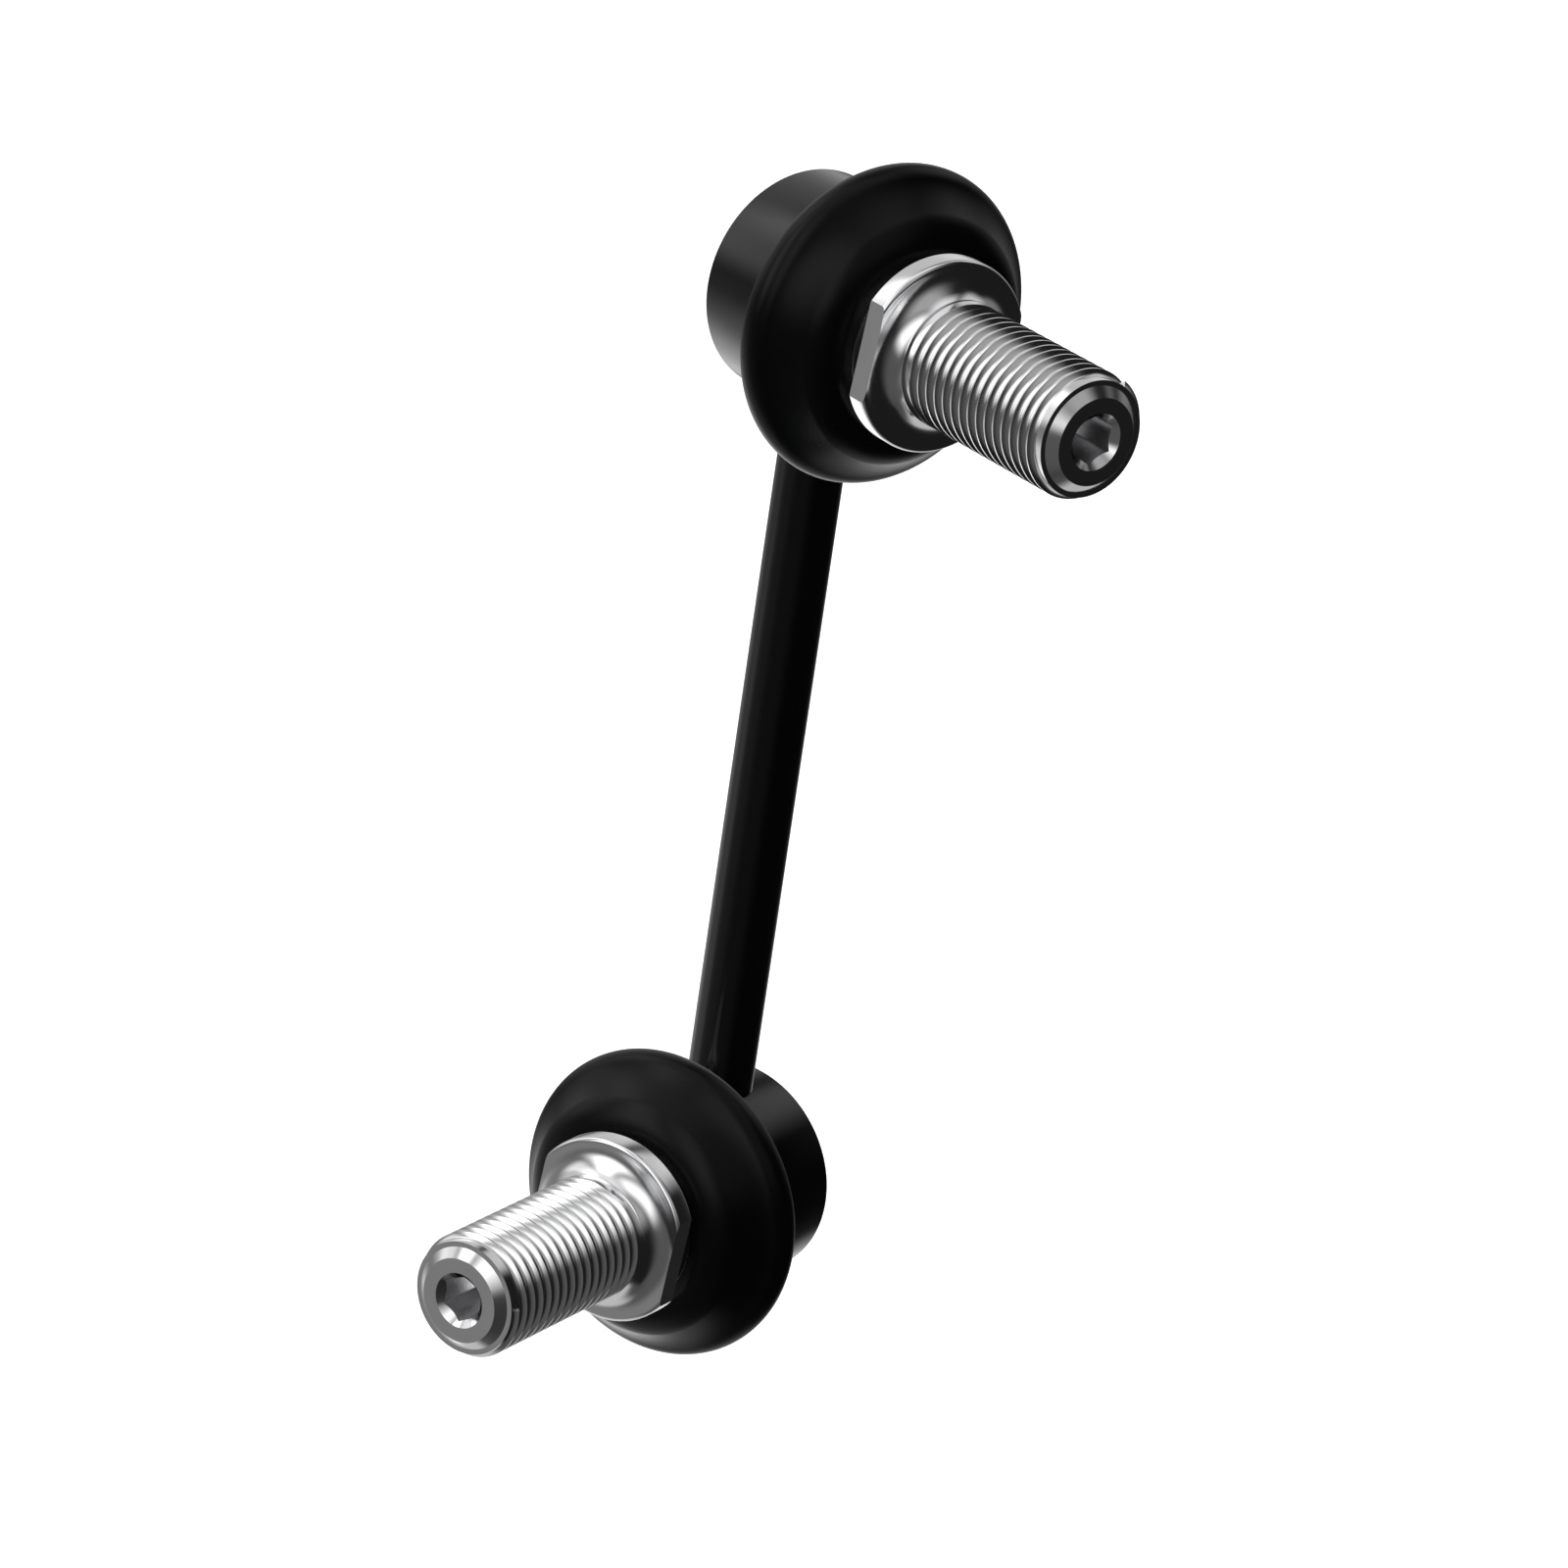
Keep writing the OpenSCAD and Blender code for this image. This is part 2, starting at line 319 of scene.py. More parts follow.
@dataclass(frozen=True)
class SatinCoat(Finish):
    """Thin satin coating on steel, with the faint ripple of dried lacquer."""

    cloud_scale: float = 160.0
    peel_scale: float = 2400.0
    ripple: float = 0.05
    ripple_depth: float = 0.00004
    shine: float = 0.42

    def surface(self, board: Board, at: Sock) -> Mapping[str, Any]:
        """Shader inputs of the coating.

        Args:
            board: The material's nodes.
            at: Position on the piece, in metres.

        Returns:
            Values or sockets of the main shader, by name.
        """
        cloud = board.noise(at, self.cloud_scale, detail=3.0)
        peel = board.noise(at, self.peel_scale, detail=2.0)
        return {
            "Base Color": self.tint(board, cloud, dark=0.75, light=1.3),
            "Roughness": self.rough + swing(cloud, 0.1) + swing(peel, 0.06),
            "Specular IOR Level": self.shine,
            "Normal": board.bump(peel, self.ripple, self.ripple_depth),
        }


@dataclass(frozen=True)
class TurnedSteel(Finish):
    """Bright plated steel with the fine rings left by turning."""

    ring_scale: float = 7000.0
    smear_scale: float = 240.0
    rings: float = 0.06
    ring_depth: float = 0.00001

    def surface(self, board: Board, at: Sock) -> Mapping[str, Any]:
        """Shader inputs of the steel.

        Args:
            board: The material's nodes.
            at: Position on the piece, in metres.

        Returns:
            Values or sockets of the main shader, by name.
        """
        x = board.node("ShaderNodeSeparateXYZ", {}, {"Vector": at}, "X")
        radius = (x * x + x.other("Y") * x.other("Y")) ** 0.5
        along = {"W": radius + x.other("Z"), "Scale": self.ring_scale}
        ring = board.node("ShaderNodeTexNoise", {"noise_dimensions": "1D"}, along, "Fac")
        smear = board.noise(at, self.smear_scale, detail=3.0)
        return {
            "Base Color": self.tint(board, smear, dark=0.93, light=1.05),
            "Metallic": 1.0,
            "Roughness": self.rough + swing(ring, 0.06) + swing(smear, 0.05),
            "Normal": board.bump(ring, self.rings, self.ring_depth),
        }


@dataclass(frozen=True)
class MouldedRubber(Finish):
    """Black rubber as it leaves the mould: smooth, with a fine grain and a faint bloom."""

    bloom_scale: float = 110.0
    pore_scale: float = 3200.0
    grain: float = 0.08
    grain_depth: float = 0.00003
    shine: float = 0.15

    def surface(self, board: Board, at: Sock) -> Mapping[str, Any]:
        """Shader inputs of the rubber.

        Args:
            board: The material's nodes.
            at: Position on the piece, in metres.

        Returns:
            Values or sockets of the main shader, by name.
        """
        bloom = board.noise(at, self.bloom_scale, detail=4.0)
        pores = board.noise(at, self.pore_scale, detail=3.0)
        return {
            "Base Color": self.tint(board, bloom, dark=0.7, light=1.35),
            "Roughness": self.rough + swing(bloom, 0.12) + swing(pores, 0.08),
            "Specular IOR Level": self.shine,
            "Normal": board.bump(pores, self.grain, self.grain_depth),
        }


@dataclass(frozen=True)
class BearingPlastic(Finish):
    """Natural coloured bearing plastic, slightly cloudy."""

    cloud_scale: float = 420.0
    grain: float = 0.06
    grain_depth: float = 0.00003

    def surface(self, board: Board, at: Sock) -> Mapping[str, Any]:
        """Shader inputs of the plastic.

        Args:
            board: The material's nodes.
            at: Position on the piece, in metres.

        Returns:
            Values or sockets of the main shader, by name.
        """
        cloud = board.noise(at, self.cloud_scale, detail=3.0)
        return {
            "Base Color": self.tint(board, cloud, dark=0.9, light=1.06),
            "Roughness": self.rough + swing(cloud, 0.1),
            "Normal": board.bump(cloud, self.grain, self.grain_depth),
        }


@dataclass(frozen=True)
class DrawnSteel(Finish):
    """Rolled sheet or drawn wire, with streaks and a thin film of oil."""

    metal: float = 1.0
    streak_scale: float = 900.0
    film_scale: float = 200.0
    grain: float = 0.08
    grain_depth: float = 0.00002

    def surface(self, board: Board, at: Sock) -> Mapping[str, Any]:
        """Shader inputs of the steel.

        Args:
            board: The material's nodes.
            at: Position on the piece, in metres.

        Returns:
            Values or sockets of the main shader, by name.
        """
        streak = board.noise(at, self.streak_scale, detail=4.0)
        film = board.noise(at, self.film_scale, detail=2.0)
        return {
            "Base Color": self.tint(board, film, dark=0.8, light=1.15),
            "Metallic": self.metal,
            "Roughness": self.rough + swing(streak, 0.14),
            "Normal": board.bump(streak, self.grain, self.grain_depth),
        }


BLACK_COAT = SatinCoat("satin_black_coat", "black_coat", (0.0016, 0.0016, 0.0018), 0.15)
STUD_STEEL = TurnedSteel("turned_plated_steel", "plated_steel", (0.82, 0.82, 0.83), 0.15)
BOOT_RUBBER = MouldedRubber("moulded_black_rubber", "black_rubber", (0.0016, 0.0016, 0.0017), 0.3)
SEAT_PLASTIC = BearingPlastic("natural_bearing_plastic", "bearing_plastic", (0.8, 0.76, 0.64), 0.45)
RING_STEEL = DrawnSteel("pressed_ring_steel", "plain_steel", (0.5, 0.5, 0.52), 0.35)
SPRING_WIRE = DrawnSteel("oiled_spring_wire", "ring_wire", (0.012, 0.012, 0.013), 0.45, metal=0.6)


def oval(centre: Point, across: float, along: float, start: float, stop: float, steps: int) -> Outline:
    """Points on part of an ellipse.

    Args:
        centre: Its centre, as radius and distance along the stud.
        across: Half width in radius.
        along: Half width along the stud.
        start: First angle in degrees.
        stop: Last angle in degrees.
        steps: Number of steps between them.

    Returns:
        The points from start to stop.
    """
    angles = [math.radians(start + (stop - start) * i / steps) for i in range(steps + 1)]
    return [(centre[0] + across * math.cos(a), centre[1] + along * math.sin(a)) for a in angles]


def arc(centre: Point, radius: float, start: float, stop: float, steps: int) -> Outline:
    """Points on part of a circle, from one angle in degrees to another."""
    return oval(centre, radius, radius, start, stop, steps)


def bend(first: Point, corner: Point, last: Point, steps: int) -> Outline:
    """Points on a soft bend that leans into a corner.

    Args:
        first: Where it starts.
        corner: The corner, which it doesn't reach.
        last: Where it ends.
        steps: Number of steps between them.

    Returns:
        The points from first to last.
    """
    points = []
    for i in range(steps + 1):
        t = i / steps
        weights = ((1 - t) * (1 - t), 2 * t * (1 - t), t * t)
        points.append(tuple(sum(w * p[k] for w, p in zip(weights, (first, corner, last))) for k in (0, 1)))
    return points


def eased(outline: Outline, radius: float, steps: int = 4) -> Outline:
    """Rounds each inner corner of an open outline.

    Args:
        outline: Corner points.
        radius: Length taken off each side of a corner.
        steps: Steps round each corner.

    Returns:
        The rounded outline.
    """
    made = [outline[0]]
    for before, corner, after in zip(outline, outline[1:], outline[2:]):
        ends = []
        for far in (before, after):
            length = math.dist(corner, far)
            share = min(radius, CORNER_SHARE * length) / length
            ends.append(tuple(c + (f - c) * share for c, f in zip(corner, far)))
        made += bend(ends[0], corner, ends[1], steps)
    return made + [outline[-1]]


def turned(outline: Outline, facets: int = ROUND) -> bmesh.types.BMesh:
    """Turns an outline round the Z axis into a closed mesh.

    Args:
        outline: Radius and height of each point. It starts and ends on the axis, or is a closed ring.
        facets: Facets round the axis.

    Returns:
        The mesh, in millimetres.
    """
    made = bmesh.new()
    rings = []
    for radius, height in outline:
        if radius < NEAR_AXIS:
            rings.append([made.verts.new((0.0, 0.0, height))])
            continue
        angles = [2 * math.pi * i / facets for i in range(facets)]
        rings.append([made.verts.new((radius * math.cos(a), radius * math.sin(a), height)) for a in angles])
    pairs = list(zip(rings, rings[1:]))
    if len(rings[0]) > 1:
        pairs.append((rings[-1], rings[0]))
    for lower, upper in pairs:
        for i in range(facets):
            j = (i + 1) % facets
            corners = [lower[i % len(lower)], lower[j % len(lower)]]
            corners += [upper[j % len(upper)], upper[i % len(upper)]]
            made.faces.new(list(dict.fromkeys(corners)))
    bmesh.ops.recalc_face_normals(made, faces=made.faces)
    return made


def piece_from(mesh: bmesh.types.BMesh, name: str, place: Matrix) -> bpy.types.Object:
    """Makes an object at the origin from a mesh drawn in millimetres.

    Args:
        mesh: The mesh, which is used up.
        name: The piece's name.
        place: Matrix from the mesh to the part.

    Returns:
        The object, with its place in its mesh.
    """
    mesh.transform(place)
    data = bpy.data.meshes.new(name)
    mesh.to_mesh(data)
    mesh.free()
    return object_from(data, name)


def object_from(data: bpy.types.Mesh, name: str) -> bpy.types.Object:
    """Links a mesh into the scene with smooth faces and crisp edges.

    Args:
        data: The mesh.
        name: The piece's name.

    Returns:
        The object, at the origin.
    """
    data.shade_smooth()
    data.set_sharp_from_angle(angle=CRISP)
    made = bpy.data.objects.new(name, data)
    bpy.context.scene.collection.objects.link(made)
    return made


def dress(piece: bpy.types.Object, finish: Finish, end: End | None, *nodes: str) -> bpy.types.Object:
    """Gives a piece its finish and the nodes that it stands for.

    Args:
        piece: The piece.
        finish: Its finish.
        end: The end that the finish's pattern turns about.
        nodes: CAD nodes that the piece replaces.

    Returns:
        The piece.
    """
    piece.data.materials.clear()
    piece.data.materials.append(finish.material(end))
    # Apart from the studio, only the bright steel is mirrored in the pieces
    piece.visible_glossy = finish is STUD_STEEL
    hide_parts(*nodes)
    LOG.info("%s: %d faces, %s", piece.name, len(piece.data.polygons), finish.name)
    return piece


@dataclass
class LinkRod:
    """Straight rod, its ends shaped to the two cups."""

    radius: float = 3.25
    bite: float = 0.05
    facets: int = 96

    def saddle(self, end: End, angle: float) -> float:
        """Height at which the rod meets a cup.

        Args:
            end: The cup's end of the link.
            angle: Angle round the rod.

        Returns:
            The height above the lower stud's axis, in millimetres.
        """
        beside = self.radius * math.sin(angle - end.turn)
        reach = math.sqrt((CUP_RADIUS - self.bite) ** 2 - beside**2)
        return reach if end is End.LOWER else PIN_SPAN - reach

    def build(self) -> bpy.types.Object:
        """Builds and dresses the rod.

        Returns:
            The rod.
        """
        mesh = bmesh.new()
        angles = [2 * math.pi * i / self.facets for i in range(self.facets)]
        rings, tips = [], []
        for end in End:
            heights = [self.saddle(end, a) for a in angles]
            circle = [(self.radius * math.cos(a), self.radius * math.sin(a)) for a in angles]
            rings.append([mesh.verts.new((*at, height)) for at, height in zip(circle, heights)])
            tips.append(mesh.verts.new((0.0, 0.0, self.saddle(end, end.turn))))
        for i in range(self.facets):
            j = (i + 1) % self.facets
            mesh.faces.new((rings[0][i], rings[0][j], rings[1][j], rings[1][i]))
            for ring, tip in zip(rings, tips):
                mesh.faces.new((ring[i], ring[j], tip))
        bmesh.ops.recalc_face_normals(mesh, faces=mesh.faces)
        piece = piece_from(mesh, "straight_rod", Matrix.Translation(End.LOWER.origin) @ Matrix.Scale(MM, 4))
        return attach(dress(piece, BLACK_COAT, None, "link_rod"), "link")


@dataclass
class Cup:
    """Deep cup with a rolled front edge, which holds the ball joint."""

    end: End
    back: float = -5.6
    floor: float = -4.2
    front: float = 8.3
    lip_back: float = 7.5
    bore: float = 9.05
    lip: float = 7.9
    edge: float = 0.25
    roll: float = 0.8
    groove: float = 0.4
    groove_from: float = 4.2
    groove_to: float = 6.05

    def build(self) -> bpy.types.Object:
        """Builds and dresses the cup.

        Returns:
            The cup.
        """
        grooved = CUP_RADIUS - self.groove
        outline = [(0.0, self.back)]
        outline += arc((CUP_RADIUS - self.edge, self.back + self.edge), self.edge, -90, 0, steps=6)
        outline += [(CUP_RADIUS, self.groove_from), (grooved, self.groove_from)]
        outline += [(grooved, self.groove_to), (CUP_RADIUS, self.groove_to)]
        outline += arc((CUP_RADIUS - self.roll, self.front - self.roll), self.roll, 0, 90, steps=8)
        outline += [(self.lip, self.front), (self.lip, self.lip_back), (self.bore, self.lip_back)]
        outline += [(self.bore, self.floor), (0.0, self.floor)]
        piece = piece_from(turned(outline), self.end.named("cup"), self.end.place)
        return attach(dress(piece, BLACK_COAT, self.end, self.end.named("housing")), "link")


@dataclass
class DustBoot:
    """Rubber boot: cuff on the cup, rolled rim, dome, and a neck round the stud.

    A point is a radius and a distance from the rod's axis. Where an arc starts and stops is in degrees,
    and a bend is a stretch of the stud's axis.
    """

    end: End
    cuff_from: float = 3.6
    cuff_in: float = 10.8
    cuff_out: float = 12.05
    rim: Point = (13.2, 7.5)
    rim_tube: float = 2.15
    valley: Point = (12.9, 9.63)
    crease: Point = (13.3, 10.1)
    rim_stop: float = 52.0
    dome_top: Point = (8.6, 13.75)
    dome_start: float = 38.0
    neck_in: float = 6.55
    neck_out: float = 7.25
    neck_to: float = 14.7
    wall: float = 0.7
    lining_from: float = 92.0
    lining_to: float = 8.0
    rim_steps: int = 48
    dome_steps: int = 40
    crease_steps: int = 16
    lining_steps: int = 24
    facets: int = 144
    rim_bend: tuple[float, float] = (5.6, 9.3)
    dome_bend: tuple[float, float] = (9.8, 12.9)

    def outlines(self) -> tuple[Outline, Outline]:
        """Sections of the boot's back half and front half.

        Returns:
            Two closed outlines that meet in the valley between rim and dome.
        """
        foot = -180.0 + math.degrees(math.acos((self.rim[0] - self.cuff_out) / self.rim_tube))
        rim = arc(self.rim, self.rim_tube, foot, self.rim_stop, self.rim_steps)
        base = (self.dome_top[0], self.valley[1])
        spread = (self.valley[0] - base[0], self.dome_top[1] - base[1])
        dome = oval(base, *spread, self.dome_start, 90, self.dome_steps)
        crease = bend(rim[-1], self.crease, dome[0], self.crease_steps)
        inner_rim = arc(self.rim, self.rim_tube - self.wall, self.lining_from, -90, self.lining_steps)
        inside = [half - self.wall for half in spread]
        inner_dome = oval(base, *inside, 90, self.lining_to, self.lining_steps)
        floor = inner_rim[-1][1]
        middle = len(crease) // 2
        back = [(self.cuff_in, self.cuff_from), (self.cuff_out, self.cuff_from)] + rim
        back += crease[1 : middle + 1] + inner_rim + [(self.cuff_in, floor)]
        front = crease[middle:] + dome[1:]
        front += [(self.neck_out, self.dome_top[1]), (self.neck_out, self.neck_to)]
        front += [(self.neck_in, self.neck_to), (self.neck_in, self.dome_top[1] - self.wall)]
        front += inner_dome + inner_rim[:1]
        return back, front

    def build(self) -> list[bpy.types.Object]:
        """Builds and dresses the boot's two halves.

        Returns:
            The back half and the front half.
        """
        end, pieces = self.end, []
        for name, outline in zip(("boot_rim", "boot_dome"), self.outlines()):
            piece = piece_from(turned(outline, self.facets), end.named(name), end.place)
            pieces.append(dress(piece, BOOT_RUBBER, end, end.named("dust_boot")))
        boot, neck = end.named("boot"), end.named("neck")
        low, high = (end.on_axis(distance) for distance in self.rim_bend)
        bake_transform(pieces[0])
        low, high = (end.on_axis(distance) for distance in self.dome_bend)
        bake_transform(pieces[1])
        return pieces


@dataclass
class WireRing:
    """Round spring wire bent into a ring."""

    end: End
    name: str
    node: str
    body: str
    radius: float
    wire: float
    height: float
    section_points: int = 24
    facets: int = 128

    def build(self) -> bpy.types.Object:
        """Builds and dresses the ring.

        Returns:
            The ring.
        """
        steps = self.section_points - 1
        last = 360.0 * steps / self.section_points
        section = arc((self.radius, self.height), self.wire / 2, 0, last, steps)
        piece = piece_from(turned(section, self.facets), self.end.named(self.name), self.end.place)
        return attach(dress(piece, SPRING_WIRE, self.end, self.end.named(self.node)), self.body)


@dataclass
class ThreadCutter:
    """Geometry Nodes tree that winds a thread round a stud blank and cuts its hexagon socket."""

    core: float
    tip: float
    pitch: float = 1.25
    turns: float = 16.8
    depth: float = 0.5
    land: float = 0.125
    sunk: float = 0.04
    spread: float = 0.96
    hollow: float = 1.9
    last: float = 38.28
    hex_flats: float = 4.0
    hex_depth: float = 6.0
    mouth: float = 2.7
    clear: float = 0.5
    merge: float = 0.002
    turn_steps: int = 120
    section_points: int = 17
    mouth_facets: int = 72
    names: dict[str, str] = field(default_factory=dict)

    def inputs(self) -> dict[str, float]:
        """Lists the tree's named values.

        Returns:
            Values by name, with lengths in millimetres and the angle in radians.
        """
        return {
            "Pitch": self.pitch,
            "Turns": self.turns,
            "Core Radius": self.core,
            "Thread Depth": self.depth,
            "Sunk Depth": self.sunk,
            "Ridge Spread": self.spread,
            "Flank Hollow": self.hollow,
            "Crest Land": self.land,
            "Last Crest": self.last,
            "Tip Height": self.tip,
            "Hex Flats": self.hex_flats,
            "Hex Depth": self.hex_depth,
            "Mouth Radius": self.mouth,
            "Clear": self.clear,
            "End Angle": 0.0,
        }

    def tree(self) -> bpy.types.NodeTree:
        """Builds the tree.

        Returns:
            The tree, with its inputs' identifiers kept by name.
        """
        tree = bpy.data.node_groups.new("stud_thread_and_socket", "GeometryNodeTree")
        face = tree.interface
        face.new_socket("Geometry", in_out="OUTPUT", socket_type="NodeSocketGeometry")
        face.new_socket("Geometry", in_out="INPUT", socket_type="NodeSocketGeometry")
        for name in self.inputs():
            made = face.new_socket(name, in_out="INPUT", socket_type="NodeSocketFloat")
            self.names[name] = made.identifier
        made = face.new_socket("Material", in_out="INPUT", socket_type="NodeSocketMaterial")
        self.names["Material"] = made.identifier
        board = Board(tree)
        given = board.node("NodeGroupInput")
        threaded = self._union(board, given, self._ridge(board, given))
        socketed = self._socket(board, given, threaded)
        real = board.node("GeometryNodeRealizeInstances", {}, {0: socketed})
        coat = {"Geometry": real, "Material": given.other("Material")}
        coated = board.node("GeometryNodeSetMaterial", {}, coat)
        board.node("NodeGroupOutput", {}, {0: coated})
        return tree

    @staticmethod
    def _vector(board: Board, x: Any = 0.0, y: Any = 0.0, z: Any = 0.0) -> Sock:
        """Joins three values into a vector."""
        return board.node("ShaderNodeCombineXYZ", {}, {"X": x, "Y": y, "Z": z})

    def _moved(self, board: Board, shape: Sock, height: Any, angle: Any = 0.0) -> Sock:
        """Lifts a shape and turns it round the stud's axis.

        Args:
            board: The tree.
            shape: The shape.
            height: How far it is lifted.
            angle: How far it is turned, in radians.

        Returns:
            The moved shape.
        """
        inputs = {
            "Geometry": shape,
            "Translation": self._vector(board, z=height),
            "Rotation": self._vector(board, z=angle),
        }
        return board.node("GeometryNodeTransform", {}, inputs)

    def _ridge(self, board: Board, given: Sock) -> Sock:
        """Winds the thread's ridge.

        Args:
            board: The tree.
            given: The tree's inputs.

        Returns:
            A closed ridge with hollow flanks and a narrow flat crest, which ends squarely at the tip.
        """
        pitch, turns = given.other("Pitch"), given.other("Turns")
        rise = pitch * turns
        spiral = {"Resolution": self.turn_steps, "Rotations": turns, "Height": rise, "Reverse": True}
        spiral |= {"Start Radius": given.other("Core Radius"), "End Radius": given.other("Core Radius")}
        path = board.node("GeometryNodeCurveSpiral", {}, spiral)
        whole_turns = given.other("End Angle") - turns * (2 * math.pi)
        path = self._moved(board, path, given.other("Last Crest") - rise, whole_turns)
        path = board.node("GeometryNodeSetCurveNormal", {"mode": "Z_UP"}, {"Curve": path})
        line = {"Start": (-1.0, 0.0, 0.0), "End": (1.0, 0.0, 0.0)}
        line = board.node("GeometryNodeCurvePrimitiveLine", {}, line)
        line = board.node("GeometryNodeResampleCurve", {}, {"Curve": line, "Count": self.section_points})
        place = board.node("GeometryNodeInputPosition")
        across = board.node("ShaderNodeSeparateXYZ", {}, {"Vector": place}, "X")
        inward = (1.0 - abs(across)) / (1.0 - given.other("Crest Land"))
        swell = inward.capped(1.0) ** given.other("Flank Hollow")
        sunk = given.other("Sunk Depth")
        height = swell * (given.other("Thread Depth") + sunk) - sunk
        side = across * pitch * given.other("Ridge Spread") * 0.5
        section = {"Geometry": line, "Position": self._vector(board, height, side)}
        section = board.node("GeometryNodeSetPosition", {}, section)
        section = board.node("GeometryNodeSetSplineCyclic", {}, {"Geometry": section, "Cyclic": True})
        swept = {"Curve": path, "Profile Curve": section, "Fill Caps": True}
        return board.node("GeometryNodeCurveToMesh", {}, swept)

    @staticmethod
    def _union(board: Board, given: Sock, ridge: Sock) -> Sock:
        """Joins the ridge to the stud blank.

        Args:
            board: The tree.
            given: The tree's inputs, of which the blank is the first.
            ridge: The thread's ridge.

        Returns:
            The threaded stud.
        """
        settings = {"operation": "UNION", "solver": "MANIFOLD"}
        made = board.node("GeometryNodeMeshBoolean", settings, {1: given})
        board.tree.links.new(ridge.socket, made.socket.node.inputs[1])
        return made

    def _socket(self, board: Board, given: Sock, stud: Sock) -> Sock:
        """Cuts the countersunk hexagon socket.

        Args:
            board: The tree.
            given: The tree's inputs.
            stud: The threaded stud.

        Returns:
            The stud with its socket.
        """
        flats, depth, clear = given.other("Hex Flats"), given.other("Hex Depth"), given.other("Clear")
        tip, mouth = given.other("Tip Height"), given.other("Mouth Radius")
        corner = flats * (0.5 / math.cos(math.pi / 6))
        prism = {"Vertices": 6, "Radius": corner, "Depth": depth + clear}
        prism = board.node("GeometryNodeMeshCylinder", {}, prism, "Mesh")
        prism = self._moved(board, prism, tip - depth * 0.5 + clear * 0.5)
        sink = mouth - flats * 0.5
        cone = {"Vertices": self.mouth_facets, "Depth": sink + clear}
        cone |= {"Radius Bottom": flats * 0.5, "Radius Top": mouth + clear}
        cone = board.node("GeometryNodeMeshCone", {}, cone, "Mesh")
        cone = self._moved(board, cone, tip - sink)
        settings = {"operation": "DIFFERENCE", "solver": "MANIFOLD"}
        for cutter in (prism, cone):
            stud = board.node("GeometryNodeMeshBoolean", settings, {0: stud, 1: cutter})
        return stud

    def cut(self, blank: bpy.types.Object, angle: float, material: bpy.types.Material) -> bpy.types.Mesh:
        """Threads a blank and cuts its socket.

        Args:
            blank: The stud blank, in millimetres.
            angle: Angle at which the thread ends at the tip, in degrees.
            material: The stud's material.

        Returns:
            The finished plain mesh, still in millimetres.
        """
        modifier = blank.modifiers.new("thread", "NODES")
        modifier.node_group = self.tree()
        for name, value in self.inputs().items():
            modifier[self.names[name]] = value
        modifier[self.names["End Angle"]] = math.radians(angle)
        modifier[self.names["Material"]] = material
        graph = bpy.context.evaluated_depsgraph_get()
        made = bpy.data.meshes.new_from_object(blank.evaluated_get(graph))
        blank.modifiers.remove(modifier)
        self._clean(made)
        return made

    def _clean(self, data: bpy.types.Mesh) -> None:
        """Merges doubled points and drops the faces without area that cutting leaves.

        Args:
            data: The mesh, which is changed in place.
        """
        mesh = bmesh.new()
        mesh.from_mesh(data)
        bmesh.ops.remove_doubles(mesh, verts=mesh.verts, dist=self.merge)
        bmesh.ops.dissolve_degenerate(mesh, edges=mesh.edges, dist=self.merge)
        mesh.to_mesh(data)
        mesh.free()


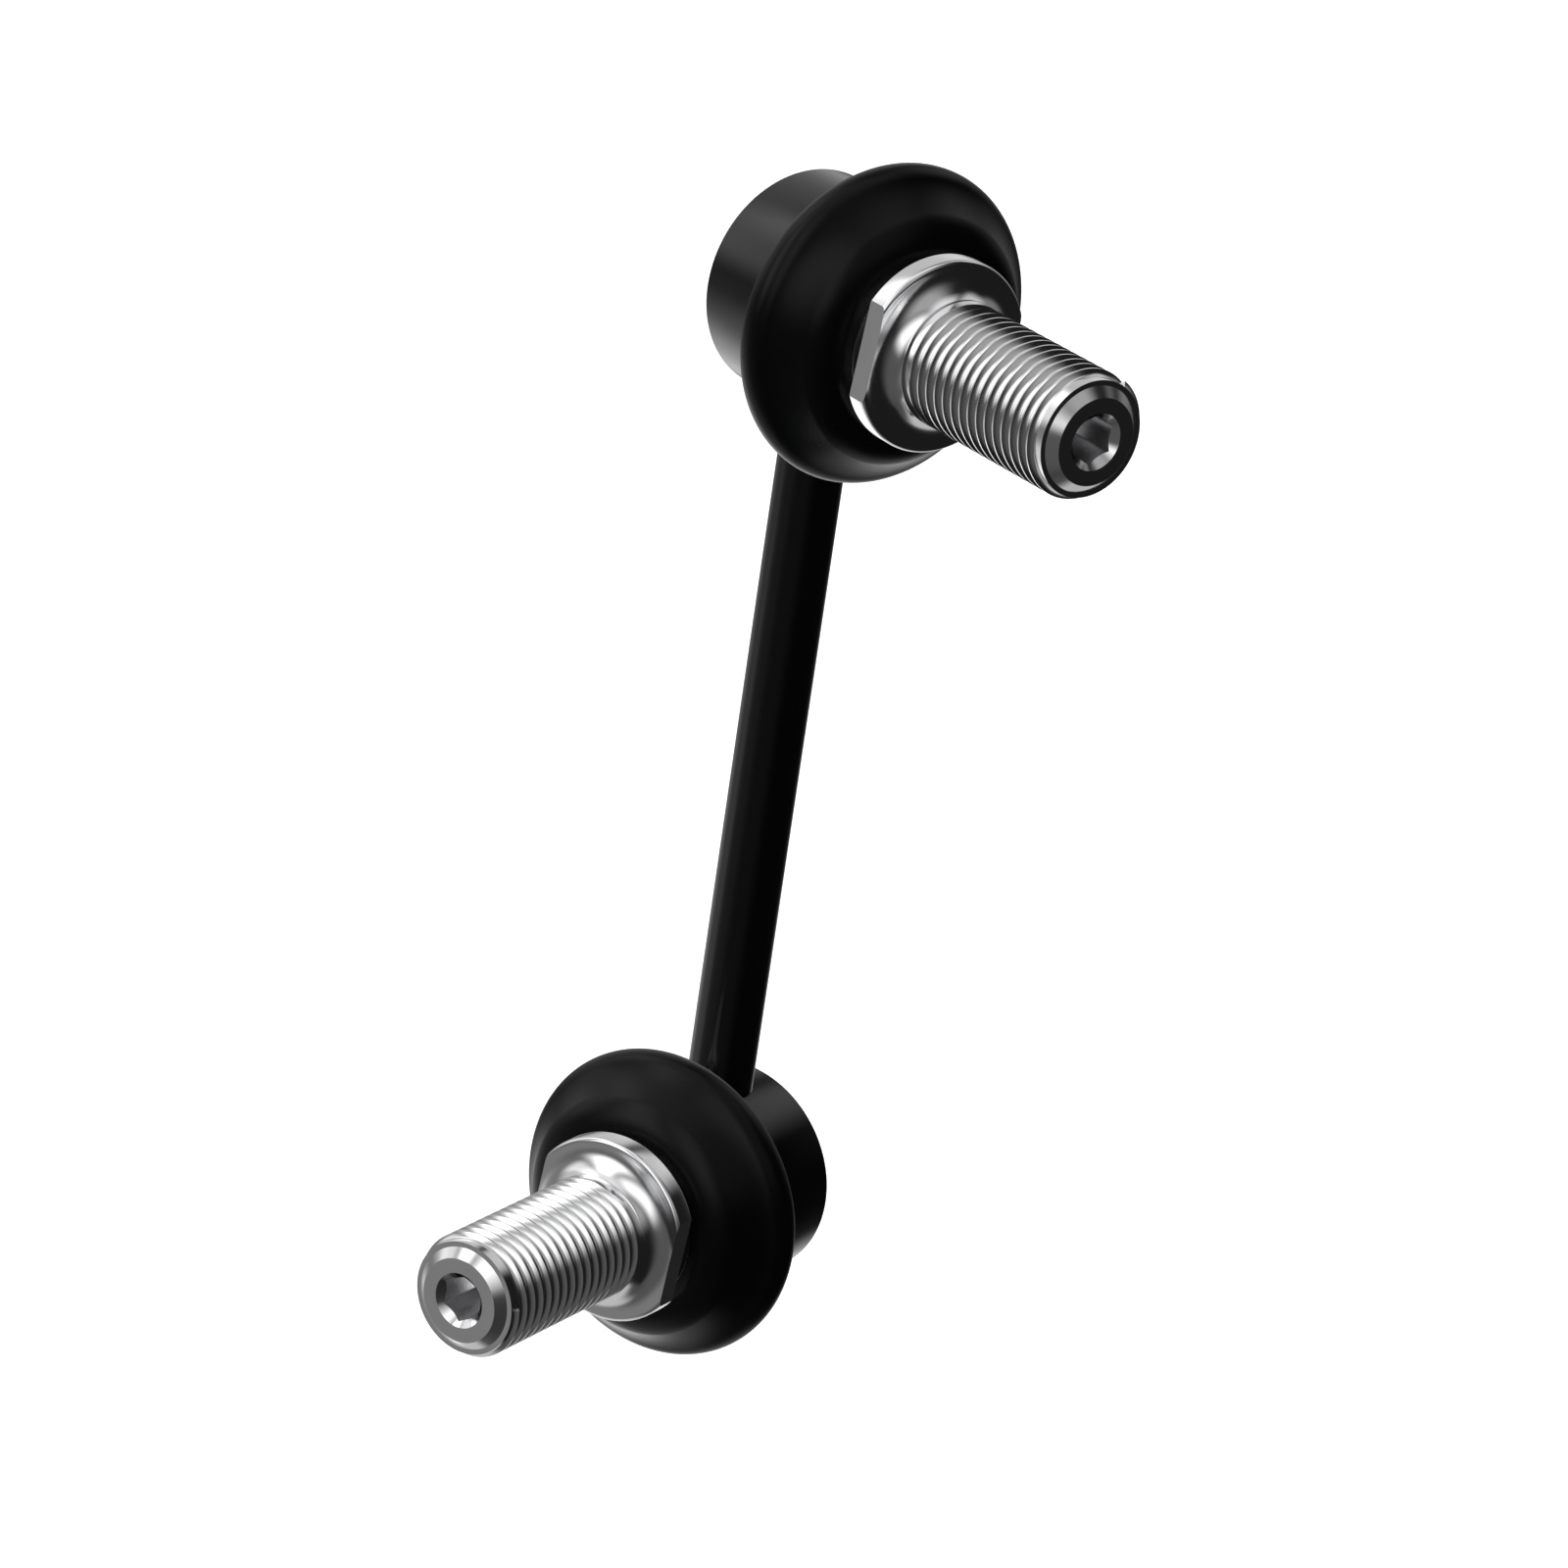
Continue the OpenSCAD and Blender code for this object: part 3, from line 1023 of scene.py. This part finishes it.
@dataclass
class BallStud:
    """Ball stud: ball, neck, boot land, flange with two flats, threaded shank and socket."""

    end: End
    thread_end: float
    ball: float = 7.0
    ball_at: float = 4.0
    neck: float = 3.9
    flare_from: float = 10.7
    land: float = 6.5
    land_from: float = 12.6
    flange: float = 9.2
    flange_from: float = 14.8
    flange_edge: float = 0.45
    flange_ease: float = 0.12
    neck_ease: float = 0.6
    flats: float = 8.0
    flats_turn: float = -5.5
    seat_in: float = 8.45
    root_to: float = 20.1
    core: float = 5.5
    step_at: float = 38.9
    step_in: float = 5.0
    tip_radius: float = 4.12
    tip_at: float = 39.7

    def outline(self) -> Outline:
        """Turned outline of the blank, from the back of the ball to the tip.

        Returns:
            Radius and distance from the rod's axis of each point.
        """
        meet = math.degrees(math.acos(self.neck / self.ball))
        ball = arc((0.0, self.ball_at), self.ball, -90, meet, steps=40)
        shank = [ball[-1], (self.neck, self.flare_from), (self.land, self.land_from)]
        body = eased(shank, self.neck_ease)[1:] + [(self.land, self.flange_from)]
        edge = self.flange_edge
        rim = arc((self.flange - edge, SEAT - edge), edge, 0, 90, steps=8)
        back = [body[-1], (self.flange, self.flange_from), rim[0]]
        flange = eased(back, self.flange_ease)[1:-1] + rim
        hollow = (self.seat_in - self.core, self.root_to - SEAT)
        root = oval((self.seat_in, self.root_to), *hollow, 270, 180, steps=32)
        tip = [(self.core, self.step_at), (self.step_in, self.step_at), (self.tip_radius, self.tip_at)]
        first, last = (0.0, self.ball_at - self.ball), (0.0, self.tip_at)
        return [first] + ball[1:] + body + flange + root + tip + [last]

    def blank(self) -> bpy.types.Object:
        """Turns the blank and cuts the flange's two wrench flats.

        Returns:
            The blank, in millimetres.
        """
        mesh = turned(self.outline())
        for side in (90.0, 270.0):
            angle = math.radians(side + self.flats_turn)
            facing = Vector((math.cos(angle), math.sin(angle), 0.0))
            parts = mesh.verts[:] + mesh.edges[:] + mesh.faces[:]
            plane = {"plane_co": facing * self.flats, "plane_no": facing}
            cut = bmesh.ops.bisect_plane(mesh, geom=parts, clear_outer=True, **plane)
            rim = [e for e in cut["geom_cut"] if isinstance(e, bmesh.types.BMEdge)]
            bmesh.ops.edgeloop_fill(mesh, edges=rim)
        bmesh.ops.recalc_face_normals(mesh, faces=mesh.faces)
        return piece_from(mesh, self.end.named("stud_blank"), Matrix.Identity(4))

    def build(self) -> bpy.types.Object:
        """Builds and dresses the stud.

        Returns:
            The stud.
        """
        blank = self.blank()
        cutter = ThreadCutter(self.core, self.tip_at)
        data = cutter.cut(blank, self.thread_end, STUD_STEEL.material(self.end))
        bpy.data.objects.remove(blank)
        data.transform(self.end.place)
        piece = object_from(data, self.end.named("threaded_stud"))
        dress(piece, STUD_STEEL, self.end, self.end.named("ball_stud"))
        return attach(piece, self.end.named("stud"))


@dataclass
class HiddenPieces:
    """Bearing shell and closing ring of one end, which keep their solids."""

    end: End

    def build(self) -> None:
        """Dresses the two solids."""
        for node, finish in (("ball_seat", SEAT_PLASTIC), ("closing_ring", RING_STEEL)):
            piece = bpy.data.objects[self.end.named(node)]
            piece.data.materials.clear()
            piece.data.materials.append(finish.material(self.end))
            LOG.info("%s keeps its solid: %s", piece.name, finish.name)


@dataclass(frozen=True)
class SoftBox:
    """A soft studio panel, placed by its turn and lift from the camera as the object sees them.

    All its angles are in degrees.
    """

    name: str
    turn: float
    lift: float
    wide: float
    tall: float
    strength: float
    edge: float = 14.0

    def _within(self, board: Board, away: Sock, half: float) -> Sock:
        """Share that falls from 1 to 0 where an angle passes half the panel's size.

        Args:
            board: The world's nodes.
            away: Angle from the panel's middle, in degrees.
            half: Half the panel's size, in degrees.

        Returns:
            The share.
        """
        span = {"Value": away, "To Min": 1.0, "To Max": 0.0}
        span |= {"From Min": half - self.edge / 2, "From Max": half + self.edge / 2}
        return board.node("ShaderNodeMapRange", {"interpolation_type": "SMOOTHSTEP"}, span)

    def glow(self, board: Board, look: Sock, axes: Matrix) -> Sock:
        """Light that comes from a direction.

        Args:
            board: The world's nodes.
            look: The direction.
            axes: Rotation of the camera.

        Returns:
            The panel's light in that direction.
        """
        turn = math.radians(self.turn)
        sine, cosine = math.sin(turn), math.cos(turn)
        ways = ((cosine, 0.0, -sine), (0.0, 1.0, 0.0), (sine, 0.0, cosine))
        aims = [{0: look, 1: axes @ Vector(way)} for way in ways]
        dot = {"operation": "DOT_PRODUCT"}
        across, up, ahead = (board.node("ShaderNodeVectorMath", dot, aim, "Value") for aim in aims)
        beside = board.node("ShaderNodeMath", {"operation": "ARCTAN2"}, {0: across, 1: ahead})
        above = board.node("ShaderNodeMath", {"operation": "ARCSINE"}, {0: up})
        degree = 180.0 / math.pi
        wide = self._within(board, abs(beside * degree), self.wide / 2)
        tall = self._within(board, abs(above * degree - self.lift), self.tall / 2)
        return wide * tall * self.strength


@dataclass
class Studio:
    """Pale floor, soft light all round, and the camera."""

    # Name, turn, lift, width, height, strength and soft edge of each panel
    panels: tuple[SoftBox, ...] = (
        SoftBox("front strip", -14.0, 16.0, 34.0, 56.0, 1.3, 24.0),
        SoftBox("left strip", -58.0, 28.0, 28.0, 48.0, 2.0, 20.0),
        SoftBox("far left strip", -98.0, 44.0, 28.0, 50.0, 0.8, 18.0),
        SoftBox("front right", 34.0, 26.0, 44.0, 56.0, 0.4, 30.0),
        SoftBox("overhead", -20.0, 76.0, 200.0, 56.0, 0.8, 26.0),
        SoftBox("back high", -152.0, 46.0, 90.0, 54.0, 0.5, 18.0),
        SoftBox("back low", -152.0, -36.0, 104.0, 60.0, 0.5, 18.0),
        SoftBox("left low", -84.0, -30.0, 50.0, 36.0, 0.12, 26.0),
        SoftBox("left side", -116.0, -4.0, 56.0, 40.0, 0.14, 30.0),
        SoftBox("fill", -100.0, 0.0, 220.0, 180.0, 0.085, 50.0),
        SoftBox("right high", 118.0, 52.0, 50.0, 36.0, 0.6, 20.0),
        SoftBox("right back", 146.0, 27.0, 60.0, 36.0, 0.2, 20.0),
    )
    backdrop: SoftBox = SoftBox("backdrop", -160.0, -16.0, 50.0, 30.0, 0.8, 24.0)
    dim: float = 0.012
    floor_at: float = -55.0
    floor_size: float = 6000.0
    floor_colour: Colour = (0.82, 0.82, 0.82)
    floor_lift: float = 0.8
    lens: float = 143.69
    camera_at: tuple[float, float, float] = (454.41, 293.0, 261.45)
    looks_at: tuple[float, float, float] = (-17.13, 2.2, 42.85)
    roll: float = 8.483

    def camera_axes(self) -> Matrix:
        """Works out how the camera is turned.

        Returns:
            Its right, its up and its back in the part's frame.
        """
        back = (Vector(self.camera_at) - Vector(self.looks_at)).normalized()
        right = Vector((0.0, 0.0, 1.0)).cross(back).normalized()
        axes = Matrix((right, back.cross(right), back)).transposed().to_4x4()
        return axes @ Matrix.Rotation(math.radians(self.roll), 4, "Z")

    def build_camera(self) -> None:
        """Sets the camera where the photograph was taken from."""
        data = bpy.data.cameras.new("camera")
        data.lens = self.lens
        data.clip_start = 0.01
        camera = bpy.data.objects.new("camera", data)
        camera.matrix_world = Matrix.Translation(Vector(self.camera_at) * MM) @ self.camera_axes()
        bpy.context.scene.collection.objects.link(camera)
        bpy.context.scene.camera = camera

    def build_floor(self) -> None:
        """Lays the floor, which takes the object's shadow."""
        mesh = bmesh.new()
        bmesh.ops.create_grid(mesh, x_segments=1, y_segments=1, size=self.floor_size * MM / 2)
        floor = piece_from(mesh, "floor", Matrix.Translation((0.0, 0.0, self.floor_at * MM)))
        floor.visible_glossy = False
        made = bpy.data.materials.new("pale_floor")
        made.use_nodes = True
        board = Board(made.node_tree)
        chalk = board.node("ShaderNodeBsdfDiffuse", {}, {"Color": (*self.floor_colour, 1.0)})
        seen = board.node("ShaderNodeLightPath", {}, {}, "Is Camera Ray")
        lift = board.node("ShaderNodeEmission", {}, {"Strength": seen * self.floor_lift})
        both = board.node("ShaderNodeAddShader", {}, {0: chalk, 1: lift})
        board.node("ShaderNodeOutputMaterial", {}, {"Surface": both})
        floor.data.materials.append(made)

    def build_light(self) -> None:
        """Lights the scene with soft panels in the world, and with a backdrop that is only mirrored."""
        world = bpy.data.worlds.new("studio")
        world.use_nodes = True
        bpy.context.scene.world = world
        board = Board(world.node_tree)
        look = board.node("ShaderNodeTexCoord", {}, {}, "Generated")
        light: Any = self.dim
        axes = self.camera_axes()
        for panel in self.panels:
            light = light + panel.glow(board, look, axes)
            LOG.info("%s: soft panel, strength %.2f", panel.name, panel.strength)
        seen = board.node("ShaderNodeLightPath", {}, {}, "Is Camera Ray")
        mirrored = seen.other("Is Glossy Ray") * self.backdrop.glow(board, look, axes)
        strength = (light + mirrored) * (1.0 - seen) + seen
        shine = board.node("ShaderNodeBackground", {}, {"Color": (1.0, 1.0, 1.0, 1.0), "Strength": strength})
        board.node("ShaderNodeOutputWorld", {}, {"Surface": shine})

    def build(self) -> None:
        """Builds the whole studio."""
        self.build_camera()
        self.build_floor()
        self.build_light()
        bpy.context.scene.view_settings.view_transform = "Standard"


def main() -> None:
    """Builds the link piece by piece, then the studio round it."""
    logging.basicConfig(level=logging.INFO, format="%(name)s %(message)s")
    LinkRod().build()
    # Angles at which the threads end at the tips, in degrees
    thread_ends = {End.LOWER: 98.0, End.UPPER: 146.0}
    for end in End:
        Cup(end).build()
        DustBoot(end).build()
        WireRing(end, "clamp_wire", "boot_clamp_ring", "link", radius=12.25, wire=1.2, height=4.5).build()
        neck = end.named("neck")
        WireRing(end, "neck_wire", "boot_neck_ring", neck, radius=7.7, wire=0.8, height=14.2).build()
        BallStud(end, thread_ends[end]).build()
        HiddenPieces(end).build()
    Studio().build()


if __name__ == "__main__":
    main()
